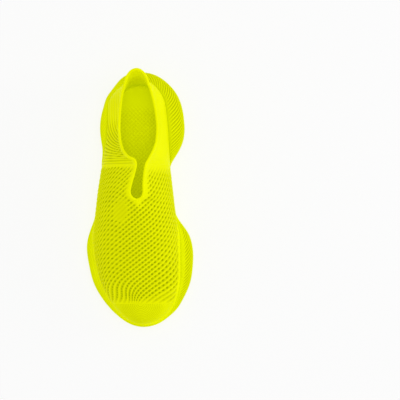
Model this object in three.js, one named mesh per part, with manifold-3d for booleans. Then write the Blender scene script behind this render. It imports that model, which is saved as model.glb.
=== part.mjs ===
// Slip-on running shoe for the right foot, in millimetres: toe towards -Y, heel towards +Y,
// medial side (big toe) towards +X, +Z up. A lattice upper with a keyhole opening stands on a
// flared two-lobe sole. The forefoot bends up at the ball line and the heel tab folds back.
//
// Every curve runs from the toe tip (station 0) to the back of the heel (station 1), once for the
// lateral side and once for the medial side. Stations crowd together at both ends, so that a
// straight run in a table makes a round end.
import * as THREE from "three";
import { mergeVertices } from "three/addons/utils/BufferGeometryUtils.js";
import Module from "manifold-3d";

const wasm = await Module();
wasm.setup();

// ---------------------------------------------------------------- driving dimensions
const UPPER_LENGTH = 284; // feather line, toe tip to heel
const UPPER_BALL_WIDTH = 100; // feather line, across the ball
const UPPER_HEEL_WIDTH = 75; // feather line, across the heel
const TOE_BOX_HEIGHT = 49; // top of the toe cap
const INSTEP_HEIGHT = 86; // front end of the throat slot
const TONGUE_HEIGHT = 100; // highest point of the front of the collar
const ANKLE_HEIGHT = 73; // lowest point of the collar
const TAB_HEIGHT = 107; // tip of the heel tab
const THROAT_WIDTH = 16.5; // throat slot, side to side
const COLLAR_WIDTH = 46; // opening at the ankle, side to side
const TAB_LEAN = 10; // how far the tip of the heel tab stands behind the feather line

const BALL_FLARE_LATERAL = 9.5; // how far the sole stands out past the upper
const BALL_FLARE_MEDIAL = 17;
const HEEL_FLARE_LATERAL = 10;
const HEEL_FLARE_MEDIAL = 19.5;
const TOE_LIP = 4.5;
const HEEL_LIP = 11;
const WAIST_INSET = 2.5; // the arch is narrower than the upper
const GROUND_INSET = 12; // from the widest line of the sole in to its ground edge

const BALL_STACK = 17; // foot plane above the ground
const HEEL_STACK = 28;
const BALL_RIM_HEIGHT = 22; // feather line above the ground
const HEEL_RIM_HEIGHT = 42;
const TOE_SPRING = 12; // toe tip of the sole above the ground
const HEEL_BEVEL = 9; // back of the sole above the ground
const ARCH_RISE = 8; // underside of the arch above the ground

const UPPER_WALL = 2.6;
const COUNTER_WALL = 1.5;
const FOOTBED_THICKNESS = 4;
const OUTSOLE_THICKNESS = 3;
const RAND_THICKNESS = 1.2;
const RIM_RADIUS = 1.6; // bead round the opening
const GAP = 0.3; // between pieces that touch
const CURVED_GAP = 0.6; // between pieces that touch along a curve
const MOVING_GAP = 0.4; // either side of a split that opens

const SEAT_INSET = 6; // feather line in to the foot plane
const FOOTBED_CLEARANCE = 0.6; // footbed edge to the sole's inner wall
const TREAD_GROOVE_WIDTH = 2.4;
const TREAD_GROOVE_DEPTH = 1.6;
const TREAD_PITCH = 11;

const TOE_CAP_STATION = 0.19; // toe cap in front of it, lattice behind it
const THROAT_STATION = 0.505; // front end of the throat slot
const HEEL_STATION = 0.8; // side panels in front of it, heel panel behind it
const TAB_STATION = 0.9; // heel tab behind it
const RAND_END_STATION = 0.465; // the rand ends beside the instep
const COUNTER_STATION = 0.74; // front ends of the counter inside the heel

const BALL_LINE = 0.33; // share of the upper's length from the toe to the bend
const FLEX_AXIS_HEIGHT = 12;
const FLEX_ANGLE = THREE.MathUtils.degToRad(30);
const ARCH_FRONT = 0.478; // shares of the length that split the midsole
const ARCH_BACK = 0.62;
const TAB_PIVOT_DROP = 15; // tab tip down to its fold line
const FAR = 400; // half-size of a cutting block, past the shoe on every side

// ---------------------------------------------------------------- curves along the shoe
// A smooth function through [station, value] pairs: monotone cubic between neighbours.
function profile(points) {
  const x = points.map((p) => p[0]);
  const y = points.map((p) => p[1]);
  const secant = x.slice(1).map((v, i) => (y[i + 1] - y[i]) / (v - x[i]));
  const slope = y.map((_, i) => {
    if (i === 0) return secant[0];
    if (i === y.length - 1) return secant[i - 1];
    if (secant[i - 1] * secant[i] <= 0) return 0;
    return (2 * secant[i - 1] * secant[i]) / (secant[i - 1] + secant[i]);
  });
  return (v) => {
    const at = THREE.MathUtils.clamp(v, x[0], x[x.length - 1]);
    const i = Math.min(Math.max(x.findIndex((e) => e > at) - 1, 0), x.length - 2);
    const k = at >= x[x.length - 1] ? x.length - 2 : i;
    const h = x[k + 1] - x[k];
    const t = (at - x[k]) / h;
    const a = y[k] * (1 + 2 * t) * (1 - t) ** 2 + y[k + 1] * t * t * (3 - 2 * t);
    return a + h * (slope[k] * t * (1 - t) ** 2 - slope[k + 1] * t * t * (1 - t));
  };
}

const LATERAL = -1;
const MEDIAL = 1;
const bySide = (lateral, medial) => (side) => (side === LATERAL ? lateral : medial);
const toeY = -UPPER_LENGTH / 2;
const stationY = (s) => toeY + (UPPER_LENGTH * (1 - Math.cos(Math.PI * s))) / 2;
const stationAt = (y) => Math.acos(1 - (2 * (y - toeY)) / UPPER_LENGTH) / Math.PI;

const B = UPPER_BALL_WIDTH;
const H = UPPER_HEEL_WIDTH;
// Feather line, where the upper meets the sole: sideways reach.
const featherX = bySide(
  profile([[0, 0.05 * B], [0.1, -0.16 * B], [0.2, -0.34 * B], [0.3, -0.48 * B], [0.4, -0.537 * B],
    [0.5, -0.495 * B], [0.6, -0.573 * H], [0.7, -0.49 * H], [0.8, -0.467 * H], [0.9, -0.26 * H], [1, 0]]),
  profile([[0, 0.05 * B], [0.1, 0.265 * B], [0.2, 0.415 * B], [0.3, 0.47 * B], [0.4, 0.463 * B],
    [0.5, 0.41 * B], [0.6, 0.485 * H], [0.7, 0.453 * H], [0.8, 0.407 * H], [0.9, 0.253 * H], [1, 0]]),
);
const featherZ = profile([[0, BALL_RIM_HEIGHT + 5], [0.15, BALL_RIM_HEIGHT + 1], [0.3, BALL_RIM_HEIGHT],
  [0.42, BALL_RIM_HEIGHT], [0.6, 0.45 * BALL_RIM_HEIGHT + 0.55 * HEEL_RIM_HEIGHT],
  [0.8, HEEL_RIM_HEIGHT - 1], [1, HEEL_RIM_HEIGHT]]);

// Sole: how far it stands out past the feather line.
const flare = bySide(
  profile([[0, TOE_LIP], [0.1, TOE_LIP], [0.3, BALL_FLARE_LATERAL], [0.37, BALL_FLARE_LATERAL],
    [0.47, 0], [0.51, -WAIST_INSET], [0.57, -WAIST_INSET], [0.6, 0.15 * HEEL_FLARE_LATERAL],
    [0.638, 0.26 * HEEL_FLARE_LATERAL], [0.656, 0.5 * HEEL_FLARE_LATERAL], [0.673, 0.74 * HEEL_FLARE_LATERAL],
    [0.713, HEEL_FLARE_LATERAL], [0.754, 0.9 * HEEL_FLARE_LATERAL], [0.8, 0.6 * HEEL_FLARE_LATERAL],
    [0.85, 0.6 * HEEL_FLARE_LATERAL], [0.9, 0.8 * HEEL_LIP], [0.95, HEEL_LIP], [1, HEEL_LIP]]),
  profile([[0, TOE_LIP], [0.1, TOE_LIP], [0.2, 0.5 * BALL_FLARE_MEDIAL], [0.3, 0.9 * BALL_FLARE_MEDIAL],
    [0.36, BALL_FLARE_MEDIAL], [0.4, 0.87 * BALL_FLARE_MEDIAL], [0.47, 0], [0.51, -WAIST_INSET],
    [0.57, -WAIST_INSET], [0.6, 0.02 * HEEL_FLARE_MEDIAL], [0.621, 0.32 * HEEL_FLARE_MEDIAL],
    [0.638, 0.58 * HEEL_FLARE_MEDIAL], [0.656, 0.78 * HEEL_FLARE_MEDIAL], [0.673, 0.92 * HEEL_FLARE_MEDIAL],
    [0.713, 1.03 * HEEL_FLARE_MEDIAL], [0.754, 1.02 * HEEL_FLARE_MEDIAL], [0.8, 0.95 * HEEL_FLARE_MEDIAL],
    [0.85, 0.8 * HEEL_FLARE_MEDIAL], [0.9, HEEL_LIP + 2.5], [1, HEEL_LIP]]),
);
const groundZ = profile([[0, TOE_SPRING], [0.1, 0.7 * TOE_SPRING], [0.2, 0.2 * TOE_SPRING], [0.27, 0],
  [0.86, 0], [0.93, 0.45 * HEEL_BEVEL], [1, HEEL_BEVEL]]);
const archZ = profile([[0.46, 0], [0.5, ARCH_RISE], [0.57, ARCH_RISE], [0.62, 0]]);
const footPlaneZ = profile([[0, BALL_STACK + 6], [0.15, BALL_STACK + 1], [0.25, BALL_STACK], [0.42, BALL_STACK],
  [0.62, 0.2 * BALL_STACK + 0.8 * HEEL_STACK], [0.72, HEEL_STACK], [1, HEEL_STACK]]);

// Top line of the upper: the ridge of the vamp up to the throat, then the edge of the opening.
const SLOT = THROAT_WIDTH / 2;
const ANKLE = COLLAR_WIDTH / 2;
const rimX = bySide(
  profile([[0, 3], [0.4, 1], [THROAT_STATION, -0.1 * SLOT], [0.5085, -0.6 * SLOT], [0.515, -0.97 * SLOT],
    [0.528, -1.16 * SLOT], [0.546, -SLOT], [0.572, -0.6 * SLOT], [0.598, -0.3 * SLOT], [0.609, -0.14 * ANKLE],
    [0.617, -0.45 * ANKLE], [0.64, -0.78 * ANKLE], [0.67, -0.93 * ANKLE], [0.707, -0.98 * ANKLE],
    [0.75, -0.95 * ANKLE], [0.788, -0.9 * ANKLE], [0.831, -0.82 * ANKLE], [0.883, -0.69 * ANKLE],
    [0.935, -0.56 * ANKLE], [0.97, -0.33 * ANKLE], [1, 0]]),
  profile([[0, 3], [0.4, 1], [THROAT_STATION, -0.1 * SLOT], [0.5085, 0.45 * SLOT], [0.515, 0.8 * SLOT],
    [0.528, 0.98 * SLOT], [0.546, SLOT], [0.572, 1.13 * SLOT], [0.598, 0.5 * ANKLE], [0.609, 0.6 * ANKLE],
    [0.617, 0.67 * ANKLE], [0.64, 0.86 * ANKLE], [0.67, ANKLE], [0.707, 1.03 * ANKLE],
    [0.75, 0.98 * ANKLE], [0.788, 0.9 * ANKLE], [0.831, 0.8 * ANKLE], [0.883, 0.67 * ANKLE],
    [0.935, 0.53 * ANKLE], [0.97, 0.3 * ANKLE], [1, 0]]),
);
const rimZ = profile([[TOE_CAP_STATION, TOE_BOX_HEIGHT], [0.27, TOE_BOX_HEIGHT + 7],
  [0.4, 0.45 * INSTEP_HEIGHT + 0.55 * (TOE_BOX_HEIGHT + 9)], [THROAT_STATION, INSTEP_HEIGHT],
  [0.55, 0.5 * (INSTEP_HEIGHT + TONGUE_HEIGHT)], [0.603, TONGUE_HEIGHT],
  [0.63, 0.55 * TONGUE_HEIGHT + 0.45 * ANKLE_HEIGHT], [0.66, 0.2 * TONGUE_HEIGHT + 0.8 * ANKLE_HEIGHT],
  [0.7, ANKLE_HEIGHT], [0.76, ANKLE_HEIGHT + 3], [0.85, 0.5 * (ANKLE_HEIGHT + TAB_HEIGHT)],
  [0.93, 0.15 * ANKLE_HEIGHT + 0.85 * TAB_HEIGHT], [1, TAB_HEIGHT]]);

// ---------------------------------------------------------------- the upper as a surface
const UP = new THREE.Vector3(0, 0, 1);

function featherPoint(side, s) {
  return new THREE.Vector3(featherX(side)(s), stationY(s), featherZ(s));
}

// Outward direction of the feather line, level with the ground.
function featherNormal(side, s) {
  const d = 0.002;
  const along = featherPoint(side, Math.min(s + d, 1)).sub(featherPoint(side, Math.max(s - d, 0)));
  if (s < d) return new THREE.Vector3(0, -1, 0);
  if (s > 1 - d) return new THREE.Vector3(0, 1, 0);
  return new THREE.Vector3(along.y * side, -along.x * side, 0).normalize();
}

// In front of the toe cap's edge every section leans to one pole on the ridge.
function topPoint(side, s) {
  const at = Math.max(s, TOE_CAP_STATION);
  const lean = TAB_LEAN * THREE.MathUtils.smoothstep(at, TAB_STATION, 1);
  return new THREE.Vector3(rimX(side)(at), stationY(at) + lean, rimZ(at));
}

const riseAtFeather = profile([[0, 0.62], [0.3, 0.62], [0.5, 0.5], [0.7, 0.4], [1, 0.35]]);
const leanAtFeather = profile([[0, 2], [0.4, 3], [0.7, 2], [1, 3]]);
const reachAtTop = profile([[0, 0.5], [0.4, 0.5], [0.5, 0.48], [0.57, 0.4], [0.66, 0.12], [0.75, 0.05], [1, 0]]);
const dropAtTop = profile([[0, 0], [0.45, 0], [0.5, 0.12], [0.6, 0.35], [0.75, 0.4], [1, 0.45]]);
const HEEL_TAB_FLICK = 8; // how sharply the top of the heel turns back

// One section of the upper, from the feather line (w 0) to its top line (w 1).
function section(side, s) {
  const low = featherPoint(side, s);
  const high = topPoint(side, s);
  const across = new THREE.Vector3(low.x - high.x, low.y - high.y, 0);
  const out = across.length() > 1 && s < HEEL_STATION ? across.clone().normalize() : featherNormal(side, s);
  const rise = high.z - low.z;
  const flick = HEEL_TAB_FLICK * THREE.MathUtils.smoothstep(s, HEEL_STATION, 1);
  const lowHandle = low.clone().addScaledVector(UP, riseAtFeather(s) * rise).addScaledVector(out, leanAtFeather(s));
  const highHandle = high.clone().addScaledVector(UP, -dropAtTop(s) * rise)
    .addScaledVector(out, reachAtTop(s) * across.length() - flick);
  return new THREE.CubicBezierCurve3(low, lowHandle, highHandle, high);
}

const upperPoint = (side, s, w) => section(side, s).getPoint(w);

function upperNormal(side, s, w) {
  const d = 0.004;
  const along = upperPoint(side, Math.min(s + d, 1), w).sub(upperPoint(side, Math.max(s - d, 0), w));
  const up = upperPoint(side, s, Math.min(w + d, 1)).sub(upperPoint(side, s, Math.max(w - d, 0)));
  const normal = up.cross(along).multiplyScalar(-side);
  return normal.lengthSq() > 0 ? normal.normalize() : UP.clone();
}

const inset = (side, s, w, depth) =>
  upperPoint(side, s, w).addScaledVector(upperNormal(side, s, w), -depth);

// ---------------------------------------------------------------- solids
const MERGE_DISTANCE = 1e-3;

// A closed triangle mesh as a manifold-3d solid, turned so that its faces point out.
function solid(points, triangles) {
  const g = new THREE.BufferGeometry();
  g.setAttribute("position", new THREE.Float32BufferAttribute(points.flatMap((p) => p.toArray()), 3));
  g.setIndex(triangles.flat());
  const merged = mergeVertices(g, MERGE_DISTANCE);
  const kept = [];
  for (let i = 0; i < merged.index.count; i += 3) {
    const [a, b, c] = [0, 1, 2].map((k) => merged.index.getX(i + k));
    if (a !== b && b !== c && c !== a) kept.push([a, b, c]);
  }
  const make = (faces) => new wasm.Manifold(new wasm.Mesh({
    numProp: 3, vertProperties: merged.attributes.position.array, triVerts: new Uint32Array(faces.flat()),
  }));
  const made = make(kept);
  return made.volume() > 0 ? made : make(kept.map(([a, b, c]) => [a, c, b]));
}

// A shell between two grids of points that lie one over the other.
function shell(outer, inner) {
  const rows = outer.length;
  const cols = outer[0].length;
  const points = [...outer.flat(), ...inner.flat()];
  const id = (layer, i, j) => layer * rows * cols + i * cols + j;
  const faces = [];
  const quad = (a, b, c, d) => faces.push([a, b, c], [a, c, d]);
  for (let i = 0; i < rows - 1; i++)
    for (let j = 0; j < cols - 1; j++) {
      quad(id(0, i, j), id(0, i, j + 1), id(0, i + 1, j + 1), id(0, i + 1, j));
      quad(id(1, i, j), id(1, i + 1, j), id(1, i + 1, j + 1), id(1, i, j + 1));
    }
  for (let i = 0; i < rows - 1; i++) {
    quad(id(0, i, 0), id(0, i + 1, 0), id(1, i + 1, 0), id(1, i, 0));
    quad(id(0, i, cols - 1), id(1, i, cols - 1), id(1, i + 1, cols - 1), id(0, i + 1, cols - 1));
  }
  for (let j = 0; j < cols - 1; j++) {
    quad(id(0, 0, j), id(1, 0, j), id(1, 0, j + 1), id(0, 0, j + 1));
    quad(id(0, rows - 1, j), id(0, rows - 1, j + 1), id(1, rows - 1, j + 1), id(1, rows - 1, j));
  }
  return solid(points, faces);
}

// A solid between closed loops round the shoe. Each loop is a function of side and station; the
// first and the last are closed by rungs from side to side.
const LOOP_STEPS = 36;
function loopSolid(loops) {
  const stations = Array.from({ length: LOOP_STEPS + 1 }, (_, i) => i / LOOP_STEPS);
  const around = [
    ...stations.map((s) => [LATERAL, s]),
    ...stations.slice(1, -1).reverse().map((s) => [MEDIAL, s]),
  ];
  const n = around.length;
  const points = loops.flatMap((loop) => around.map(([side, s]) => loop(side, s)));
  const faces = [];
  const quad = (a, b, c, d) => faces.push([a, b, c], [a, c, d]);
  for (let k = 0; k < loops.length - 1; k++)
    for (let i = 0; i < n; i++) {
      const j = (i + 1) % n;
      quad(k * n + i, k * n + j, (k + 1) * n + j, (k + 1) * n + i);
    }
  for (let i = 0; i < LOOP_STEPS; i++) {
    const mirror = (k) => (n - k) % n;
    const top = (loops.length - 1) * n;
    quad(i, mirror(i), mirror(i + 1), i + 1);
    quad(top + i, top + i + 1, top + mirror(i + 1), top + mirror(i));
  }
  return solid(points, faces);
}

function blockSolid(width, depth, height, x, y, z, tilt = 0, pivotY = y, pivotZ = z) {
  const g = new THREE.BoxGeometry(width, depth, height).translate(x, y - pivotY, z - pivotZ);
  g.rotateX(tilt).translate(0, pivotY, pivotZ);
  g.deleteAttribute("normal");
  g.deleteAttribute("uv");
  const m = mergeVertices(g, MERGE_DISTANCE);
  return new wasm.Manifold(new wasm.Mesh({
    numProp: 3, vertProperties: m.attributes.position.array, triVerts: new Uint32Array(m.index.array),
  }));
}

// The slab of space between two planes of constant y.
const slab = (y0, y1) => blockSolid(FAR, y1 - y0, FAR, 0, (y0 + y1) / 2, 0);

const steps = (from, to, count) => Array.from({ length: count + 1 }, (_, i) => from + ((to - from) * i) / count);

// ---------------------------------------------------------------- regions that split the shoe
const flexY = toeY + BALL_LINE * UPPER_LENGTH;
const aheadOfBall = slab(-FAR, flexY - MOVING_GAP);
const behindBall = slab(flexY + MOVING_GAP, FAR);
// In front of a plane through the flex axis that leans towards the toe by the flex angle.
const leaning = (offset) => blockSolid(FAR, FAR, 2 * FAR, 0, flexY - FAR / 2 - offset, FLEX_AXIS_HEIGHT,
  FLEX_ANGLE, flexY, FLEX_AXIS_HEIGHT);
const foreRegion = aheadOfBall.intersect(leaning(MOVING_GAP));
const foldRegion = slab(-FAR, flexY).subtract(leaning(0));
const archFrontY = toeY + ARCH_FRONT * UPPER_LENGTH;
const archBackY = toeY + ARCH_BACK * UPPER_LENGTH;

// ---------------------------------------------------------------- sole
// A point of the sole, so far out from the feather line and so high.
const solePoint = (out, z) => (side, s) => {
  const p = featherPoint(side, s).addScaledVector(featherNormal(side, s), out(side, s));
  p.z = z(s);
  return p;
};
const soleFootZ = (s) => groundZ(s) + archZ(s);
const midsoleBottomZ = (s) => soleFootZ(s) + OUTSOLE_THICKNESS + GAP;
const wallZ = (share) => (s) => midsoleBottomZ(s) + share * (featherZ(s) - GAP - midsoleBottomZ(s));
const flareShare = (share, inward) => (side, s) => flare(side)(s) * share - inward;

const midsole = loopSolid([
  solePoint(flareShare(1, GROUND_INSET), midsoleBottomZ),
  solePoint(flareShare(1, 0.4 * GROUND_INSET), wallZ(0.12)),
  solePoint(flareShare(1, 0.08 * GROUND_INSET), wallZ(0.38)),
  solePoint(flareShare(1, 0), wallZ(0.58)),
  solePoint(flareShare(0.8, 0), wallZ(0.84)),
  solePoint(flareShare(0.3, 0), wallZ(1)),
  solePoint(() => -UPPER_WALL - 0.8, wallZ(1)),
  solePoint(() => -SEAT_INSET, footPlaneZ),
]);
const outsole = loopSolid([
  solePoint(flareShare(1, GROUND_INSET + 1), soleFootZ),
  solePoint(flareShare(1, GROUND_INSET), (s) => soleFootZ(s) + OUTSOLE_THICKNESS),
]);
const footbedSolid = loopSolid([
  solePoint(() => -SEAT_INSET - FOOTBED_CLEARANCE, (s) => footPlaneZ(s) + GAP),
  solePoint(() => -SEAT_INSET - FOOTBED_CLEARANCE, (s) => footPlaneZ(s) + GAP + FOOTBED_THICKNESS),
]);

// Cross grooves in the underside of an outsole pad.
function withTread(pad, from, to) {
  let cut = pad;
  for (let y = from + TREAD_PITCH; y < to - TREAD_PITCH / 2; y += TREAD_PITCH) {
    const z = soleFootZ(stationAt(y));
    cut = cut.subtract(blockSolid(FAR, TREAD_GROOVE_WIDTH, 2 * TREAD_GROOVE_DEPTH, 0, y, z));
  }
  return cut;
}
const padFrontY = stationY(0.08);
const padBackY = stationY(0.95);
const outsolePad = (from, to) => withTread(outsole.intersect(slab(from, to)), from, to);

// ---------------------------------------------------------------- upper panels
const ACROSS = 7; // steps from the feather line to the top line

// One side of the foot, from the throat to the heel panel.
function sidePanel(side) {
  const grid = (d) => steps(panelGap(THROAT_STATION, 1), HEEL_STATION, 16).map((s) =>
    steps(0, 1, ACROSS).map((w) => inset(side, s, w, d)));
  return shell(grid(0), grid(UPPER_WALL));
}

// A panel that runs over the ridge from the lateral to the medial feather line.
function archPanel(from, to, count) {
  const row = (s, d) => [
    ...steps(0, 1, ACROSS).map((w) => inset(LATERAL, s, w, d)),
    ...steps(1, 0, ACROSS).slice(1).map((w) => inset(MEDIAL, s, w, d)),
  ];
  const grid = (d) => steps(from, to, count).map((s) => row(s, d));
  return shell(grid(0), grid(UPPER_WALL));
}

// A panel round the toe or round the heel, from the lateral to the medial station.
function wrapStations(from, end, count) {
  const half = steps(from, end, count);
  return [...half.map((s) => [LATERAL, s]), ...half.slice(0, -1).reverse().map((s) => [MEDIAL, s])];
}
function wrapPanel(stations, w0, w1, across, out, depth) {
  const grid = (d) => stations.map(([side, s]) =>
    steps(0, 1, across).map((t) => inset(side, s, w0(side, s) + t * (w1(side, s) - w0(side, s)), d)));
  return shell(grid(-out), grid(depth));
}
const flat = (value) => () => value;

const vampEdge = stationAt(stationY(THROAT_STATION) - GAP);
const panelGap = (s, sign) => stationAt(stationY(s) + sign * GAP);
const vamp = archPanel(TOE_CAP_STATION, vampEdge, 14);
const capEnd = stationAt(stationY(TOE_CAP_STATION) - 2 * CURVED_GAP);
const toeCap = wrapPanel(wrapStations(capEnd, 0, 8), flat(0), flat(1), ACROSS, 0, UPPER_WALL);

// The back of the heel, which a fold line splits into a panel and the tab above it.
const heelWrap = wrapPanel(wrapStations(panelGap(HEEL_STATION, 1), 1, 8), flat(0), flat(1), ACROSS, 0, UPPER_WALL);
const tabFoldZ = TAB_HEIGHT - TAB_PIVOT_DROP;
const tabFrontY = stationY(TAB_STATION);
const aboveFold = (gap) => blockSolid(FAR, FAR, FAR, 0, tabFrontY + gap + FAR / 2, tabFoldZ + gap + FAR / 2);
const heelPanel = heelWrap.subtract(aboveFold(-MOVING_GAP));
const heelTab = heelWrap.intersect(aboveFold(MOVING_GAP));
const counter = wrapPanel(
  wrapStations(COUNTER_STATION, 1, 7), flat(0.06), flat(0.55), 4,
  -UPPER_WALL - CURVED_GAP, UPPER_WALL + CURVED_GAP + COUNTER_WALL);

// Rand: a smooth band over the foot of the upper, from one side of the instep round the toe.
const rand = wrapPanel(
  wrapStations(RAND_END_STATION, 0, 16), flat(0.02), flat(0.16), 2, RAND_THICKNESS + GAP, -GAP);

// Bead round the opening, from one side of the heel tab round the throat to the other.
function collarBead(radius, endY) {
  const side = (which) => steps(0, 1, 34)
    .map((t) => THROAT_STATION + (stationAt(endY) - THROAT_STATION) * t ** 1.8)
    .map((s) => inset(which, s, 1, UPPER_WALL / 2));
  const path = [...side(LATERAL).reverse(), ...side(MEDIAL).slice(1)];
  const curve = new THREE.CatmullRomCurve3(path, false, "centripetal");
  const ringSides = 8;
  const frames = steps(0, 1, 84).map((t) => {
    const at = curve.getPointAt(t);
    const along = curve.getTangentAt(t);
    const level = new THREE.Vector3().crossVectors(along, UP).normalize();
    const upright = new THREE.Vector3().crossVectors(level, along).normalize();
    return steps(0, 2 * Math.PI, ringSides).slice(0, -1).map((a) =>
      at.clone().addScaledVector(level, radius * Math.cos(a)).addScaledVector(upright, radius * Math.sin(a)));
  });
  const faces = [];
  const id = (i, j) => i * ringSides + (j % ringSides);
  for (let i = 0; i < frames.length - 1; i++)
    for (let j = 0; j < ringSides; j++)
      faces.push([id(i, j), id(i, j + 1), id(i + 1, j + 1)], [id(i, j), id(i + 1, j + 1), id(i + 1, j)]);
  const last = (frames.length - 1) * ringSides;
  for (let j = 1; j < ringSides - 1; j++)
    faces.push([0, j + 1, j], [last, last + j, last + j + 1]);
  return solid(frames.flat(), faces);
}

const beforeTab = slab(-FAR, tabFrontY - 2 * MOVING_GAP);
const bead = collarBead(RIM_RADIUS, tabFrontY).intersect(beforeTab);
const beadChannel = collarBead(RIM_RADIUS + CURVED_GAP, tabFrontY);
// A panel with the bead's channel cut out of its edge; slivers past the bead fall away.
const besideBead = (panel) => panel.subtract(beadChannel).decompose()
  .reduce((most, body) => (body.volume() > most.volume() ? body : most));

// ---------------------------------------------------------------- the shoe
const NEON = 0xdfe800;
const shoe = new THREE.Group();
shoe.name = "running_shoe";

function add(name, made, color, roughness) {
  const mesh = made.getMesh();
  const g = new THREE.BufferGeometry();
  g.setAttribute("position", new THREE.BufferAttribute(mesh.vertProperties, 3));
  g.setIndex(new THREE.BufferAttribute(mesh.triVerts, 1));
  g.computeVertexNormals();
  const piece = new THREE.Mesh(g, new THREE.MeshStandardMaterial({ color, roughness, metalness: 0 }));
  piece.name = name;
  shoe.add(piece);
}

add("outsole_toe", outsolePad(padFrontY, flexY - MOVING_GAP), 0xcfd800, 0.7);
add("outsole_ball", outsolePad(flexY + MOVING_GAP, archFrontY), 0xcfd800, 0.7);
add("outsole_heel", outsolePad(archBackY, padBackY), 0xcfd800, 0.7);
add("midsole_toe_pod", midsole.intersect(foreRegion), NEON, 0.6);
add("midsole_ball_pod", midsole.intersect(slab(flexY + MOVING_GAP, archFrontY - GAP)), NEON, 0.6);
add("midsole_arch_bridge", midsole.intersect(slab(archFrontY, archBackY - GAP)), NEON, 0.6);
add("midsole_heel_pod", midsole.intersect(slab(archBackY, FAR)), NEON, 0.6);
add("footbed_toe", footbedSolid.intersect(foreRegion), 0xc8d000, 0.85);
add("footbed", footbedSolid.intersect(behindBall), 0xc8d000, 0.85);
add("toe_cap", toeCap, NEON, 0.6);
add("vamp_toe_box", vamp.intersect(foreRegion), NEON, 0.65);
add("vamp_flex_gore", vamp.intersect(foldRegion).subtract(behindBall), NEON, 0.65);
add("vamp_instep", besideBead(vamp.intersect(behindBall)), NEON, 0.65);
for (const [side, word] of [[LATERAL, "lateral"], [MEDIAL, "medial"]])
  add(`quarter_${word}`, besideBead(sidePanel(side)), NEON, 0.65);
add("quarter_heel", besideBead(heelPanel), NEON, 0.65);
add("heel_counter", counter, NEON, 0.7);
add("heel_tab", heelTab, NEON, 0.6);
add("collar_rim", bead, NEON, 0.55);
add("toe_rand", rand.intersect(foreRegion), NEON, 0.6);
const randBehind = rand.intersect(behindBall).decompose();
for (const half of randBehind)
  add(half.boundingBox().max[0] < 0 ? "ball_rand_lateral" : "ball_rand_medial", half, NEON, 0.6);

// The origin is under the middle of the shoe, on the ground.
const box = new THREE.Box3().setFromObject(shoe);
const middle = box.getCenter(new THREE.Vector3());
shoe.position.set(-middle.x, -middle.y, -box.min.z);

export default shoe;
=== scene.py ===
# The looks of a slip-on running shoe printed in one neon yellow rubbery plastic: a ribbed lattice
# upper with a keyhole opening, a smooth collar rim and heel tab, and a flared sole in two lobes.
# The working unit of the shape functions is the millimetre; pieces are placed in metres.
import math

import bmesh
import bpy
import numpy as np
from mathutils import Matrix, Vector, kdtree


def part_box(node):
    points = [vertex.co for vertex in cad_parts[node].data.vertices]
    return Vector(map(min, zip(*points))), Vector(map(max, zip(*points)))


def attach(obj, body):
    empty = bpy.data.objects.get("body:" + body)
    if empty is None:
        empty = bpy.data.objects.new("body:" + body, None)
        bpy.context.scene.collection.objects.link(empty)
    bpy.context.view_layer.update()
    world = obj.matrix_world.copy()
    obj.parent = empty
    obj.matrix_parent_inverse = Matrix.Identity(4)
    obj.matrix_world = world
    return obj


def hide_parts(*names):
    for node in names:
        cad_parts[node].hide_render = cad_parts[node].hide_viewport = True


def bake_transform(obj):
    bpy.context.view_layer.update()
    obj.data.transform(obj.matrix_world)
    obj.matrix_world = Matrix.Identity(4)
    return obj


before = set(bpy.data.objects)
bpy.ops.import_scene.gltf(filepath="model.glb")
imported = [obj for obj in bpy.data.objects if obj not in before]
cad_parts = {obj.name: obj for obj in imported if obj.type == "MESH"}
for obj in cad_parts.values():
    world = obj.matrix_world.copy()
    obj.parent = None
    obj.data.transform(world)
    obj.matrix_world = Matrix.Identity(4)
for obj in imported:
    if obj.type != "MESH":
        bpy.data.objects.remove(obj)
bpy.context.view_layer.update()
MM = 0.001
LATERAL, MEDIAL = -1, 1

# ------------------------------------------------------------------ sizes shared with the frame
UPPER_LENGTH = 284
BALL_WIDTH = 100
HEEL_WIDTH = 75
TOE_BOX_HEIGHT = 49
INSTEP_HEIGHT = 86
TONGUE_HEIGHT = 100
ANKLE_HEIGHT = 73
TAB_HEIGHT = 107
SLOT = 8.25  # half the width of the slot
ANKLE = 23  # half the width of the ankle opening
TAB_LEAN = 10  # how far the pull tab's tip leans back
TAB_FLICK = 8  # how far the heel's wall draws in under its edge
BALL_FLARE_LATERAL, BALL_FLARE_MEDIAL = 9.5, 17
HEEL_FLARE_LATERAL, HEEL_FLARE_MEDIAL = 10, 19.5
TOE_LIP, HEEL_LIP = 4.5, 11  # how far the sole stands out past the upper at its two ends
WAIST_INSET = 2.5  # how far the sole draws in beside the arch
GROUND_INSET = 12  # how far the tread lies inside the widest line
BALL_RIM, HEEL_RIM = 22, 42  # height of the line where the upper meets the sole
BALL_STACK, HEEL_STACK = 17, 28  # thickness of the sole under the foot
TOE_SPRING, HEEL_BEVEL, ARCH_RISE = 12, 9, 8
SEAT_INSET = 6  # from the feather line in to the foot's seat
OUTSOLE = 3  # thickness of the tread
TOE_CAP, THROAT, HEEL, TAB = 0.19, 0.505, 0.8, 0.9  # stations, from 0 at the toe to 1 at the heel
WALL = 2.6  # thickness of the upper's plain walls

# The frame's toe pod starts at the sole's toe tip, which sets where station 0 lies.
TOE_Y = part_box("midsole_toe_pod")[0][1] / MM + TOE_LIP
MIDDLE_X = -0.56  # the shoe's own middle, once its sole is centred
FLEX_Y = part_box("outsole_ball")[0][1] / MM - 0.4
FOLD_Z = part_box("heel_tab")[0][2] / MM - 0.4
TAB_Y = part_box("heel_tab")[0][1] / MM


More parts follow.
